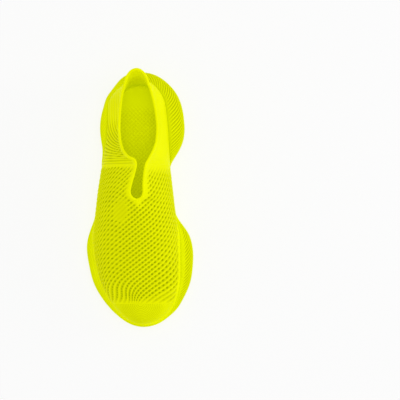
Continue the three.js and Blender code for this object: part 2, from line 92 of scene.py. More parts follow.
def profile(*pairs):
    """A smooth function through (station, value) pairs."""
    x = np.array([p[0] for p in pairs], float)
    y = np.array([p[1] for p in pairs], float)
    secant = np.diff(y) / np.diff(x)
    slope = np.zeros(len(x))
    slope[0], slope[-1] = secant[0], secant[-1]
    for i in range(1, len(x) - 1):
        if secant[i - 1] * secant[i] > 0:
            slope[i] = 2 * secant[i - 1] * secant[i] / (secant[i - 1] + secant[i])

    def value(s):
        s = np.clip(s, x[0], x[-1])
        k = np.clip(np.searchsorted(x, s, side="right") - 1, 0, len(x) - 2)
        h = x[k + 1] - x[k]
        t = (s - x[k]) / h
        a = y[k] * (1 + 2 * t) * (1 - t) ** 2 + y[k + 1] * t * t * (3 - 2 * t)
        return a + h * (slope[k] * t * (1 - t) ** 2 - slope[k + 1] * t * t * (1 - t))

    return value


def by_side(lateral, medial):
    """One function of side and station out of a profile for each side."""
    return lambda side, s: np.where(np.asarray(side) < 0, lateral(s), medial(s))


def smooth(v, low, high):
    """Eased step, 0 below low and 1 above high."""
    t = np.clip((v - low) / (high - low), 0, 1)
    return t * t * (3 - 2 * t)


def station_y(s):
    """The place along the shoe of a station. Stations lie closer together at the two ends."""
    return TOE_Y + UPPER_LENGTH * (1 - np.cos(np.pi * s)) / 2


def station_at(y):
    return np.arccos(np.clip(1 - 2 * (y - TOE_Y) / UPPER_LENGTH, -1, 1)) / np.pi


# The tables give a value at each station. Widths are shares of the ball's and the heel's width.
B, H = BALL_WIDTH, HEEL_WIDTH
feather_x = by_side(
    profile((0, 0.05 * B), (0.1, -0.16 * B), (0.2, -0.34 * B), (0.3, -0.48 * B), (0.4, -0.537 * B),
            (0.5, -0.495 * B), (0.6, -0.573 * H), (0.7, -0.49 * H), (0.8, -0.467 * H), (0.9, -0.26 * H),
            (1, 0)),
    profile((0, 0.05 * B), (0.1, 0.265 * B), (0.2, 0.415 * B), (0.3, 0.47 * B), (0.4, 0.463 * B),
            (0.5, 0.41 * B), (0.6, 0.485 * H), (0.7, 0.453 * H), (0.8, 0.407 * H), (0.9, 0.253 * H),
            (1, 0)))
feather_z = profile((0, BALL_RIM + 5), (0.15, BALL_RIM + 1), (0.3, BALL_RIM), (0.42, BALL_RIM),
                    (0.6, 0.45 * BALL_RIM + 0.55 * HEEL_RIM), (0.8, HEEL_RIM - 1), (1, HEEL_RIM))
BL, BM, HL, HM = BALL_FLARE_LATERAL, BALL_FLARE_MEDIAL, HEEL_FLARE_LATERAL, HEEL_FLARE_MEDIAL
flare = by_side(
    profile((0, TOE_LIP), (0.1, TOE_LIP), (0.3, BL), (0.37, BL), (0.47, 0), (0.51, -WAIST_INSET),
            (0.57, -WAIST_INSET), (0.6, 0.15 * HL), (0.638, 0.26 * HL), (0.656, 0.5 * HL),
            (0.673, 0.74 * HL), (0.713, HL), (0.754, 0.9 * HL), (0.8, 0.6 * HL),
            (0.85, 0.6 * HL), (0.9, 0.8 * HEEL_LIP), (0.95, HEEL_LIP), (1, HEEL_LIP)),
    profile((0, TOE_LIP), (0.1, TOE_LIP), (0.2, 0.5 * BM), (0.3, 0.9 * BM), (0.36, BM), (0.4, 0.87 * BM),
            (0.47, 0), (0.51, -WAIST_INSET), (0.57, -WAIST_INSET), (0.6, 0.02 * HM), (0.621, 0.32 * HM),
            (0.638, 0.58 * HM), (0.656, 0.78 * HM), (0.673, 0.92 * HM), (0.713, 1.03 * HM),
            (0.754, 1.02 * HM), (0.8, 0.95 * HM), (0.85, 0.8 * HM), (0.9, HEEL_LIP + 2.5), (1, HEEL_LIP)))
ground_curve = profile((0, TOE_SPRING), (0.1, 0.7 * TOE_SPRING), (0.2, 0.2 * TOE_SPRING), (0.27, 0),
                       (0.86, 0), (0.93, 0.45 * HEEL_BEVEL), (1, HEEL_BEVEL))
arch_curve = profile((0.46, 0), (0.5, ARCH_RISE), (0.57, ARCH_RISE), (0.62, 0))
foot_z = profile((0, BALL_STACK + 6), (0.15, BALL_STACK + 1), (0.25, BALL_STACK), (0.42, BALL_STACK),
                 (0.62, 0.2 * BALL_STACK + 0.8 * HEEL_STACK), (0.72, HEEL_STACK), (1, HEEL_STACK))
rim_x = by_side(
    profile((0, 3), (0.4, 1), (THROAT, -0.1 * SLOT), (0.5085, -0.6 * SLOT), (0.515, -0.97 * SLOT),
            (0.528, -1.16 * SLOT), (0.546, -SLOT), (0.572, -0.6 * SLOT), (0.598, -0.3 * SLOT),
            (0.609, -0.14 * ANKLE), (0.617, -0.45 * ANKLE), (0.64, -0.78 * ANKLE), (0.67, -0.93 * ANKLE),
            (0.707, -0.98 * ANKLE), (0.75, -0.95 * ANKLE), (0.788, -0.9 * ANKLE), (0.831, -0.82 * ANKLE),
            (0.883, -0.69 * ANKLE), (0.935, -0.56 * ANKLE), (0.97, -0.33 * ANKLE), (1, 0)),
    profile((0, 3), (0.4, 1), (THROAT, -0.1 * SLOT), (0.5085, 0.45 * SLOT), (0.515, 0.8 * SLOT),
            (0.528, 0.98 * SLOT), (0.546, SLOT), (0.572, 1.13 * SLOT), (0.598, 0.5 * ANKLE),
            (0.609, 0.6 * ANKLE), (0.617, 0.67 * ANKLE), (0.64, 0.86 * ANKLE), (0.67, ANKLE),
            (0.707, 1.03 * ANKLE), (0.75, 0.98 * ANKLE), (0.788, 0.9 * ANKLE), (0.831, 0.8 * ANKLE),
            (0.883, 0.67 * ANKLE), (0.935, 0.53 * ANKLE), (0.97, 0.3 * ANKLE), (1, 0)))
rim_z = profile((TOE_CAP, TOE_BOX_HEIGHT), (0.27, TOE_BOX_HEIGHT + 7),
                (0.4, 0.45 * INSTEP_HEIGHT + 0.55 * (TOE_BOX_HEIGHT + 9)), (THROAT, INSTEP_HEIGHT),
                (0.55, 0.5 * (INSTEP_HEIGHT + TONGUE_HEIGHT)), (0.603, TONGUE_HEIGHT),
                (0.63, 0.55 * TONGUE_HEIGHT + 0.45 * ANKLE_HEIGHT),
                (0.66, 0.2 * TONGUE_HEIGHT + 0.8 * ANKLE_HEIGHT), (0.7, ANKLE_HEIGHT),
                (0.76, ANKLE_HEIGHT + 3), (0.85, 0.5 * (ANKLE_HEIGHT + TAB_HEIGHT)),
                (0.93, 0.15 * ANKLE_HEIGHT + 0.85 * TAB_HEIGHT),
                (1, TAB_HEIGHT))
# How far a section's two handles stand from its ends: the lower one up and out, the upper one out and down.
rise_low = profile((0, 0.62), (0.3, 0.62), (0.5, 0.5), (0.7, 0.4), (1, 0.35))
lean_low = profile((0, 2), (0.4, 3), (0.7, 2), (1, 3))
reach_top = profile((0, 0.5), (0.4, 0.5), (0.5, 0.48), (0.57, 0.4), (0.66, 0.12), (0.75, 0.05), (1, 0))
drop_top = profile((0, 0), (0.45, 0), (0.5, 0.12), (0.6, 0.35), (0.75, 0.4), (1, 0.45))


def xyz(x, y, z):
    return np.stack(np.broadcast_arrays(np.asarray(x, float), y, z), -1)


def feather(side, s):
    """The line where the upper meets the sole."""
    return xyz(feather_x(side, s) + MIDDLE_X, station_y(s), feather_z(s))


def unit(v):
    return v / np.maximum(np.linalg.norm(v, axis=-1, keepdims=True), 1e-9)


def feather_out(side, s):
    """Level direction away from the shoe at the feather line."""
    side, s = np.broadcast_arrays(side, np.asarray(s, float))
    along = feather(side, np.minimum(s + 0.002, 1)) - feather(side, np.maximum(s - 0.002, 0))
    out = unit(xyz(along[..., 1] * side, -along[..., 0] * side, 0))
    out[s < 0.002] = (0, -1, 0)
    out[s > 0.998] = (0, 1, 0)
    return out


def top_line(side, s):
    """The ridge over the foot, and the opening's edge behind the throat."""
    s = np.maximum(s, TOE_CAP)
    return xyz(rim_x(side, s) + MIDDLE_X, station_y(s) + TAB_LEAN * smooth(s, TAB, 1), rim_z(s))


def upper(side, s, w):
    """A point of the upper: w 0 is the feather line and w 1 the ridge or the opening's edge."""
    side, s, w = np.broadcast_arrays(side, np.asarray(s, float), np.asarray(w, float))
    low, high = feather(side, s), top_line(side, s)
    across = (low - high) * (1, 1, 0)
    reach = np.linalg.norm(across, axis=-1)
    straight = ((reach > 1) & (s < HEEL))[..., None]
    out = np.where(straight, unit(across), feather_out(side, s))
    rise = high[..., 2] - low[..., 2]
    up = np.array((0, 0, 1.0))
    low_handle = low + (rise_low(s) * rise)[..., None] * up + lean_low(s)[..., None] * out
    flick = TAB_FLICK * smooth(s, HEEL, 1)
    high_handle = (high - (drop_top(s) * rise)[..., None] * up
                   + (reach_top(s) * reach - flick)[..., None] * out)
    w = w[..., None]
    v = 1 - w
    return v**3 * low + 3 * v * v * w * low_handle + 3 * v * w * w * high_handle + w**3 * high


def upper_out(side, s, w):
    """Direction straight out of the upper."""
    side, s, w = np.broadcast_arrays(side, np.asarray(s, float), np.asarray(w, float))
    d = 0.004
    along = upper(side, np.minimum(s + d, 1), w) - upper(side, np.maximum(s - d, 0), w)
    rise = upper(side, s, np.minimum(w + d, 1)) - upper(side, s, np.maximum(w - d, 0))
    return unit(np.cross(rise, along) * -side[..., None])


def upper_at(side, s, w, out=0.0):
    """A point of the upper, moved outwards by so many millimetres."""
    return upper(side, s, w) + upper_out(side, s, w) * np.asarray(out, float)[..., None]


SAMPLES = 49  # along one section
STATIONS = 900  # along the shoe


def section_runs(side):
    """The length of surface from the top line down to each sample of the section, for every station."""
    s = np.linspace(0, 1, STATIONS + 1)
    line = upper(np.full((len(s), 1), side), s[:, None], np.linspace(1, 0, SAMPLES)[None, :])
    step = np.linalg.norm(np.diff(line, axis=1), axis=-1)
    return np.concatenate([np.zeros((len(s), 1)), np.cumsum(step, 1)], 1)


RUNS = {LATERAL: section_runs(LATERAL), MEDIAL: section_runs(MEDIAL)}


def drop_to_share(side, s, drop):
    """The share w that lies so many millimetres of surface below the top line, and the section's length."""
    w = np.linspace(1, 0, SAMPLES)
    i = np.clip((s * STATIONS).astype(int), 0, STATIONS - 1)
    part = (s * STATIONS - i)[:, None]
    low, high = (np.where((side < 0)[:, None], RUNS[LATERAL][k], RUNS[MEDIAL][k]) for k in (i, i + 1))
    run = low * (1 - part) + high * part
    found = np.array([np.interp(d, r, w) for d, r in zip(drop, run)])
    return found, run[:, -1]


# ------------------------------------------------------------------ making pieces
def clear_selection():
    if bpy.context.object and bpy.context.object.mode != "OBJECT":
        bpy.ops.object.mode_set(mode="OBJECT")
    bpy.ops.object.select_all(action="DESELECT")


def select_only(piece):
    clear_selection()
    piece.select_set(True)
    bpy.context.view_layer.objects.active = piece


def grid_sheet(name, columns, rows):
    """A flat grid of columns by rows faces, and the place of each corner on it, from 0 to 1."""
    clear_selection()
    bpy.ops.mesh.primitive_grid_add(x_subdivisions=columns, y_subdivisions=rows, size=1)
    piece = bpy.context.object
    piece.name = piece.data.name = name
    uv = np.array([v.co[:2] for v in piece.data.vertices]) + 0.5
    number_corners(piece)
    return piece, uv


def number_corners(piece):
    """Numbers the corners, so that they can be told apart after faces go."""
    layer = piece.data.attributes.new("corner", "INT", "POINT")
    layer.data.foreach_set("value", np.arange(len(layer.data)))


def put(piece, points):
    """Moves every corner of the piece to its point, in millimetres."""
    piece.data.vertices.foreach_set("co", (np.asarray(points) * MM).astype(np.float32).ravel())
    piece.data.update()


def paint(piece, painted_light):
    """Painted light at each corner, for the finish to read: 0 is full painted shade, as in a groove, and 1 is
    lit, as on a crest.
    """
    layer = piece.data.attributes.new("painted_light", "FLOAT", "POINT")
    value = np.clip(np.broadcast_to(painted_light, len(layer.data)), 0, 1)
    layer.data.foreach_set("value", value.astype(np.float32))


def apply(piece, kind, **settings):
    """Adds one modifier to the piece and makes its result part of the mesh."""
    select_only(piece)
    modifier = piece.modifiers.new(kind.title(), kind)
    for key, value in settings.items():
        setattr(modifier, key, value)
    bpy.ops.object.modifier_apply(modifier=modifier.name)


def close_up(piece, outward=True, distance=0.02):
    """Welds corners that meet and turns the faces outwards."""
    select_only(piece)
    bpy.ops.object.mode_set(mode="EDIT")
    bpy.ops.mesh.select_all(action="SELECT")
    bpy.ops.mesh.remove_doubles(threshold=distance * MM)
    bpy.ops.mesh.dissolve_degenerate(threshold=1e-6)
    if outward:
        bpy.ops.mesh.select_all(action="SELECT")
        bpy.ops.mesh.normals_make_consistent(inside=False)
    bpy.ops.object.mode_set(mode="OBJECT")


def face_away(piece, centre):
    """Turns a whole open sheet over if it faces its centre line instead of away from it."""
    total = 0.0
    for face in piece.data.polygons:
        away = face.center - Vector(centre(face.center))
        total += face.normal.dot(away) * face.area
    if total < 0:
        piece.data.flip_normals()


def finish(piece, material, body, slot, *nodes, bend=None, angle=60):
    """Gives a piece its material and smooth shading and hides the nodes it stands for. Without a bend the
    piece hangs on its body; with one, its placement is baked into the mesh and the bend itself is not kept.
    The slot is not used.
    """
    select_only(piece)
    bpy.ops.object.shade_smooth_by_angle(angle=math.radians(angle))
    piece.data.materials.clear()
    piece.data.materials.append(material)
    if bend:
        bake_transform(piece)
    else:
        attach(piece, body)
    if nodes:
        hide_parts(*nodes)


FLEX_Z = 0.012
BEHIND_FLEX, AHEAD_OF_FLEX = 0.028, 0.032
BALL_BEND = ("forefoot", (0, FLEX_Y * MM + BEHIND_FLEX, FLEX_Z), (0, FLEX_Y * MM - AHEAD_OF_FLEX, FLEX_Z))
# The tab's bend starts low on the heel and grows back and up.
AHEAD_OF_TAB, BEHIND_TAB, OVER_FOLD = 0.004, 0.014, 0.0155
TAB_BEND = ("heel_pull", (0, TAB_Y * MM - AHEAD_OF_TAB, FOLD_Z * MM),
            (0, TAB_Y * MM + BEHIND_TAB, FOLD_Z * MM + OVER_FOLD))


# ------------------------------------------------------------------ finishes
def links(tree, pairs):
    for a, b in pairs:
        tree.links.new(a, b)


def printed_skin_group():
    """Printed rubbery plastic: layer lines across the height, a fine grain, and painted shade in the grooves.
    """
    group = bpy.data.node_groups.new("printed_skin", "ShaderNodeTree")
    face = group.interface
    for name, kind, value in [("Crest Colour", "NodeSocketColor", (0.8, 0.85, 0, 1)),
                              ("Painted Groove Shade", "NodeSocketColor", (0.5, 0.55, 0, 1)),
                              ("Painted Light", "NodeSocketFloat", 0.5), ("Layer Pitch", "NodeSocketFloat", 0.0006),
                              ("Layer Depth", "NodeSocketFloat", 0.2), ("Grain", "NodeSocketFloat", 0.5),
                              ("Base Roughness", "NodeSocketFloat", 0.55)]:
        socket = face.new_socket(name=name, in_out="INPUT", socket_type=kind)
        socket.default_value = value
    face.new_socket(name="Colour", in_out="OUTPUT", socket_type="NodeSocketColor")
    face.new_socket(name="Roughness", in_out="OUTPUT", socket_type="NodeSocketFloat")
    face.new_socket(name="Height", in_out="OUTPUT", socket_type="NodeSocketFloat")
    node = group.nodes.new
    given, result = node("NodeGroupInput"), node("NodeGroupOutput")
    place, parts = node("ShaderNodeTexCoord"), node("ShaderNodeSeparateXYZ")
    mottle, grain = node("ShaderNodeTexNoise"), node("ShaderNodeTexNoise")
    mottle.inputs["Scale"].default_value = 38
    mottle.inputs["Detail"].default_value = 3
    grain.inputs["Scale"].default_value = 1900
    grain.inputs["Detail"].default_value = 2
    turns, swell, sine, depth = [node("ShaderNodeMath") for _ in range(4)]
    turns.operation = "DIVIDE"
    swell.operation = depth.operation = "MULTIPLY"
    sine.operation = "SINE"
    swell.inputs[1].default_value = 2 * math.pi
    speck, total = node("ShaderNodeMath"), node("ShaderNodeMath")
    speck.operation, total.operation = "MULTIPLY", "ADD"
    base, tone = node("ShaderNodeMix"), node("ShaderNodeMix")
    soft, rough = node("ShaderNodeMapRange"), node("ShaderNodeMath")
    base.data_type = tone.data_type = "RGBA"
    tone.blend_type = "MULTIPLY"
    shade = node("ShaderNodeMapRange")
    shade.inputs["To Min"].default_value = 0.93
    shade.inputs["To Max"].default_value = 1.04
    soft.inputs["To Min"].default_value = -0.05
    soft.inputs["To Max"].default_value = 0.08
    tone.inputs["Factor"].default_value = 1
    rough.operation = "ADD"
    links(group, [
        (place.outputs["Object"], parts.inputs[0]), (place.outputs["Object"], mottle.inputs["Vector"]),
        (place.outputs["Object"], grain.inputs["Vector"]), (parts.outputs["Z"], turns.inputs[0]),
        (given.outputs["Layer Pitch"], turns.inputs[1]), (turns.outputs[0], swell.inputs[0]),
        (swell.outputs[0], sine.inputs[0]), (sine.outputs[0], depth.inputs[0]),
        (given.outputs["Layer Depth"], depth.inputs[1]), (grain.outputs["Fac"], speck.inputs[0]),
        (given.outputs["Grain"], speck.inputs[1]), (depth.outputs[0], total.inputs[0]),
        (speck.outputs[0], total.inputs[1]), (total.outputs[0], result.inputs["Height"]),
        (given.outputs["Painted Light"], base.inputs["Factor"]), (given.outputs["Painted Groove Shade"], base.inputs["A"]),
        (given.outputs["Crest Colour"], base.inputs["B"]), (base.outputs["Result"], tone.inputs["A"]),
        (mottle.outputs["Fac"], shade.inputs["Value"]), (shade.outputs["Result"], tone.inputs["B"]),
        (tone.outputs["Result"], result.inputs["Colour"]), (mottle.outputs["Fac"], soft.inputs["Value"]),
        (soft.outputs["Result"], rough.inputs[0]), (given.outputs["Base Roughness"], rough.inputs[1]),
        (rough.outputs[0], result.inputs["Roughness"])])
    return group


PRINTED_SKIN = printed_skin_group()
PAINTED_GLOW = 0.16  # painted light: the skin also sends out its own colour as emission, which lifts the shaded parts evenly and stands in for how the neon plastic seems to glow
SHEEN = 0.012


def printed(name, crest, groove, roughness, pitch=0.0006, depth=0.25, grain=0.5, bump=0.00008):
    """A printed finish whose colour goes from the painted shade of the grooves to the crest colour, following
    the painted light that each piece carries.
    """
    material = bpy.data.materials.new(name)
    material.use_nodes = True
    tree = material.node_tree
    shader = tree.nodes["Principled BSDF"]
    shader.inputs["Specular IOR Level"].default_value = SHEEN
    # Painted glow: the skin's colour is also sent out as light.
    shader.inputs["Emission Strength"].default_value = PAINTED_GLOW
    skin = tree.nodes.new("ShaderNodeGroup")
    skin.node_tree = PRINTED_SKIN
    skin.inputs["Crest Colour"].default_value = (*crest, 1)
    skin.inputs["Painted Groove Shade"].default_value = (*groove, 1)
    skin.inputs["Layer Pitch"].default_value = pitch
    skin.inputs["Layer Depth"].default_value = depth
    skin.inputs["Grain"].default_value = grain
    skin.inputs["Base Roughness"].default_value = roughness
    painted_light = tree.nodes.new("ShaderNodeAttribute")
    painted_light.attribute_name = "painted_light"
    raised = tree.nodes.new("ShaderNodeBump")
    raised.inputs["Distance"].default_value = bump
    raised.inputs["Strength"].default_value = 0.8
    links(tree, [
        (painted_light.outputs["Fac"], skin.inputs["Painted Light"]),
        (skin.outputs["Colour"], shader.inputs["Base Color"]),
        (skin.outputs["Colour"], shader.inputs["Emission Color"]),
        (skin.outputs["Roughness"], shader.inputs["Roughness"]),
        (skin.outputs["Height"], raised.inputs["Height"]),
        (raised.outputs["Normal"], shader.inputs["Normal"])])
    return material


# The first colour is the plastic's own. The darker one after it is painted shade for the grooves and the
# cells' middles.
NEON = (0.87, 0.92, 0.0)
NEON_SHADE = (0.50, 0.54, 0.0)
LATTICE_FINISH = printed("neon_lattice", NEON, NEON_SHADE, 0.5)
SMOOTH_FINISH = printed("neon_smooth", NEON, NEON_SHADE, 0.48, depth=0.15)
TOE_FINISH = printed("neon_toe", (0.80, 0.86, 0.0), NEON_SHADE, 0.5, depth=0.2)
SOLE_FINISH = printed("neon_sole", (0.82, 0.88, 0.0), NEON_SHADE, 0.55, depth=0.3)
FOOTBED_FINISH = printed("neon_footbed", (0.80, 0.85, 0.0), (0.62, 0.67, 0.0), 0.7, grain=0.9)
TREAD_FINISH = printed("neon_tread", (0.66, 0.72, 0.0), (0.42, 0.46, 0.0), 0.65, grain=0.8)


# ------------------------------------------------------------------ lattice upper
LATTICE_END = (0.597, 0.6)  # stations where the lattice gives way to the collar wall, lateral and medial
HALF_ACROSS, HALF_ALONG = 3.6, 2.75  # half a cell over the middle of the foot
LATERAL_SPREAD, MEDIAL_SPREAD = 0.6, 0.5  # how much wider the cells grow down the two sides
TOE_SWING = 24  # how far the ribs are carried across beside the toe
LATERAL_SWEEP = 0.009  # how strongly the rows bow towards the toe on the lateral side
MEDIAL_TURN = 2.3  # how far the rows turn back on the medial side
LATERAL_FADE, MEDIAL_FADE = 3.0, 16.0  # length over which the ribs die out before the collar wall
PATCH_X, PATCH_AHEAD = 21, 11  # the closed patch lies to the lateral side of the throat and ahead of it
LATTICE_WALL = 2.2
HOLE_REACH = 1.25
# Height and painted light of a crossing, a high rib, a low rib and a cell's middle. The low ribs and the
# cells' middles are painted dark as shade.
RIB_HEIGHTS = [1.0, 1.25, -0.7, -0.9]
RIB_PAINTED_LIGHT = [0.9, 1.0, 0.28, 0.0]
PLAIN_PAINTED_LIGHT = 0.92


def ramp(v, low, high):
    """Nothing below low, then an eased bend into a line of slope one."""
    t = np.clip((v - low) / (high - low), 0, 1)
    return (high - low) * (t**3 - t**4 / 2) + np.clip(v - high, 0, None)


def lattice_upper():
    """Diamond cells between two families of ribs. The ribs that run from toe-lateral to heel-medial stand
    higher, the others lie between them, and each cell is open in its middle."""
    first = float(station_y(TOE_CAP)) - 1.0
    last_of = {LATERAL: float(station_y(LATTICE_END[0])), MEDIAL: float(station_y(LATTICE_END[1]))}
    rows = int((max(last_of.values()) - first) / HALF_ALONG) + 3
    low, high = -13, rows // 2 + 16
    count = 2 * (high - low)
    piece, uv = grid_sheet("upper_lattice", count, count)
    pq = np.rint(uv * count).astype(int) + 2 * low
    p, q = pq[:, 0] / 2, pq[:, 1] / 2
    # The ribs start steeply beside the toe, lie flatter over the foot and turn steep on the medial quarter.
    along, across = p + q, p - q
    turned = ramp(across, 3, 8) * smooth(along, 4, 26)
    swing = TOE_SWING * (1 - smooth(along, 0, 12)) * (1 - smooth(across, -12, 2))
    lateral_part = LATERAL_SPREAD * ramp(-across, 4, 8) * smooth(along, 4, 20)
    arc = (across - lateral_part + MEDIAL_SPREAD * ramp(across, 3, 8)) * HALF_ACROSS + swing
    y = first + along * HALF_ALONG - LATERAL_SWEEP * np.clip(-arc - 12, 0, 60) ** 2 + MEDIAL_TURN * turned

    # 0 is a crossing, 1 lies on a high rib, 2 on a low rib and 3 in the middle of a cell.
    kind = (pq[:, 0] % 2) + 2 * (pq[:, 1] % 2)
    side = np.where(arc < 0, LATERAL, MEDIAL)
    last = np.where(side < 0, last_of[LATERAL], last_of[MEDIAL])
    y_on = np.clip(y, first, last)
    s = station_at(y_on)
    edge = np.where(s < THROAT, 0, np.abs(rim_x(side, s)))
    drop = np.abs(arc) - edge
    w, length = drop_to_share(side, s, np.clip(drop, 0, None))
    beyond = np.maximum.reduce([drop - length, np.where(s < THROAT, -9, -drop), first - y, y - last])

    fade = np.where(side < 0, LATERAL_FADE, MEDIAL_FADE)

    # How open the cells are: shut beside the opening, the feather line, the toe cap and round the ankle.
    throat_y = station_y(THROAT)
    throat_gap = np.hypot(np.abs(arc), np.maximum(throat_y - y, 0))
    beside_opening = np.where(y > throat_y, drop, throat_gap)
    open_share = (smooth(beside_opening, 4, 9) * smooth(length - drop, 3, 9)
                  * smooth(y - first - 0.3 * np.clip(arc, 0, 40), 3, 10)
                  * (1 - smooth(y, last - fade, last - 0.4 * fade)))
    proud = (smooth(beside_opening - 3 * (arc > 0), 1.5, 6)
             * smooth(length - drop, 0.5, np.where(arc > 0, 10, 4)) * smooth(y - first, 0, 6)
             * (1 - smooth(y, last - 0.85 * fade, last - 0.5)))
    patch = 1 - smooth(np.hypot(arc + PATCH_X, (y - throat_y + PATCH_AHEAD) / 1.4), 6, 14)
    widest = smooth(arc, -8, 8) * (1 - smooth(y, -85, -50))
    open_share = open_share * (1 - patch) * (0.7 + 0.3 * smooth(arc, -24, 8) + 0.25 * widest)
    calm = proud * (1 - 0.7 * patch)
    height = np.choose(kind, RIB_HEIGHTS) * calm
    # Painted shade: dark in the low ribs and the cells' middles where the ribs stand proud, an even painted
    # level elsewhere, and darker on the closed patch.
    painted_light = np.choose(kind, RIB_PAINTED_LIGHT) * calm + (PLAIN_PAINTED_LIGHT - 0.35 * patch) * (1 - calm)
    put(piece, upper_at(side, s, w, height + 0.2 * (1 - smooth(y - first, 0, 5))
                        + 0.1 * smooth(y, last - 6, last)))
    paint(piece, painted_light)

    over_slot = y > throat_y + 0.5

    def outside(corners):
        bridges_slot = len({side[i] for i in corners}) > 1 and any(over_slot[i] for i in corners)
        return bridges_slot or all(beyond[i] > 0.01 for i in corners)

    punch(piece, outside, (kind == 3) & (beyond < -0.5), open_share, HOLE_REACH * MM)
    close_up(piece, outward=False, distance=0.15)
    drop_pinches(piece)
    face_away(piece, lambda c: (0, c.y, 0.03))
    apply(piece, "SOLIDIFY", thickness=LATTICE_WALL * MM, offset=-1, use_even_offset=False)
    apply(piece, "SUBSURF", levels=1, render_levels=1)
    return piece


def punch(piece, outside, may_open, open_share, reach, pit=0.0):
    """Drops the faces that lie outside, then opens a hole round each marked corner, as wide as its share.
    With a pit depth the holes stay closed and sink instead."""
    mesh = bmesh.new()
    mesh.from_mesh(piece.data)
    mesh.verts.ensure_lookup_table()
    lost = [f for f in mesh.faces if outside([v.index for v in f.verts])]
    bmesh.ops.delete(mesh, geom=lost, context="FACES")
    mesh.verts.ensure_lookup_table()
    index = mesh.verts.layers.int.get("corner")
    centres = [v for v in mesh.verts
               if may_open[v[index]] and open_share[v[index]] > 0.06 and len(v.link_faces) == 4]
    tree = kdtree.KDTree(len(centres))
    shares = [float(open_share[v[index]]) for v in centres]
    for i, v in enumerate(centres):
        tree.insert(v.co, i)
    tree.balance()
    before = set(mesh.verts)
    bmesh.ops.bevel(mesh, geom=centres, offset=reach, offset_type="OFFSET", affect="VERTICES", segments=1,
                    profile=0.5, clamp_overlap=False)
    gone = []
    for f in list(mesh.faces):
        if len(f.verts) != 4 or any(v in before for v in f.verts):
            continue
        centre = f.calc_center_median()
        share = shares[tree.find(centre)[1]]
        # A rounded hole, a little longer along the high ribs.
        corners = list(f.verts)
        lead = max(range(4), key=lambda k: (corners[k].co - centre).dot(Vector((0.6, 0.8, 0))))
        along = (corners[lead].co - centre).normalized()
        across = f.normal.cross(along)
        size = reach * (0.35 + 0.65 * share)
        for k, (a, b) in enumerate(((1.3, 0), (0, 0.95), (-1.3, 0), (0, -0.95))):
            sideways = along * size * a + across * size * b
            corners[(lead + k) % 4].co = centre + sideways - f.normal * pit * share
        if share > 0.2 and not pit:
            gone.append(f)
    bmesh.ops.delete(mesh, geom=gone, context="FACES")
    mesh.to_mesh(piece.data)
    mesh.free()


def drop_pinches(piece):
    """Takes away the small faces that hang on a sheet by one corner or lie double on one of its edges."""
    mesh = bmesh.new()
    mesh.from_mesh(piece.data)
    for _ in range(6):
        pinched = [v for v in mesh.verts if sum(e.is_boundary for e in v.link_edges) > 2]
        crowded = [e for e in mesh.edges if len(e.link_faces) > 2]
        hanging = {min(corner.link_faces, key=lambda f: f.calc_area()) for corner in pinched + crowded}
        bmesh.ops.delete(mesh, geom=list(hanging), context="FACES")
    bmesh.ops.delete(mesh, geom=[e for e in mesh.edges if not e.link_faces], context="EDGES")
    bmesh.ops.delete(mesh, geom=[v for v in mesh.verts if not v.link_faces], context="VERTS")
    mesh.to_mesh(piece.data)
    mesh.free()


# ------------------------------------------------------------------ smooth and ribbed walls
def around(u, low_lateral, low_medial, far):
    """Side and station of a place u on a run from a lateral station over the far end to a medial one."""
    side = np.where(u < 0.5, LATERAL, MEDIAL)
    s = np.where(u < 0.5, low_lateral + (far - low_lateral) * 2 * u, far + (low_medial - far) * (2 * u - 1))
    return side, s


def ribs(phase, sharpness=1.0):
    """A row of round crests with narrow grooves between them, from 0 to 1."""
    return np.abs(np.cos(np.pi * phase)) ** sharpness


def share_at_height(side, s, z):
    """The share w of each section that lies at a height."""
    w = np.linspace(0, 1, SAMPLES)
    heights = upper(side[:, None], s[:, None], w[None, :])[..., 2]
    return np.array([np.interp(z, np.maximum.accumulate(h), w) for h in heights])


TOE_RIB_PITCH, TOE_RIB_DEPTH = 2.2, 0.5
TOE_SEAM_DEPTH = 0.35  # how far the toe's edge dips under the lattice


def toe_cap():
    """Closed toe, with fine ribs that run round it and fade out towards its tip."""
    piece, uv = grid_sheet("ribbed_toe", 84, 150)
    side, s = around(uv[:, 0], TOE_CAP, TOE_CAP, 0.0)
    w, length = drop_to_share(side, s, np.zeros(len(s)))
    drop = (1 - uv[:, 1]) * length
    w, _ = drop_to_share(side, s, drop)
    strength = smooth(drop, 0.5, 3) * (1 - smooth(drop, 22, 34))
    groove = strength * (1 - ribs(drop / TOE_RIB_PITCH))
    sunk = TOE_SEAM_DEPTH * (1 - smooth(float(station_y(TOE_CAP)) - upper(side, s, w)[:, 1], 0.2, 2.5))
    put(piece, upper_at(side, s, w, -TOE_RIB_DEPTH * groove - sunk))
    # The rib grooves are painted darker as shade.
    paint(piece, 0.95 - 0.5 * groove)
    close_up(piece, outward=False)
    face_away(piece, lambda c: (0, -0.09, 0.03))
    apply(piece, "SOLIDIFY", thickness=WALL * MM, offset=-1)
    return piece


COLLAR_RIB_PITCH, COLLAR_RIB_DEPTH = 2.9, 2.1
HEEL_RIB_PITCH, HEEL_RIB_DEPTH = 2.4, 0.2
COLLAR_SEAM_DEPTH = 0.25


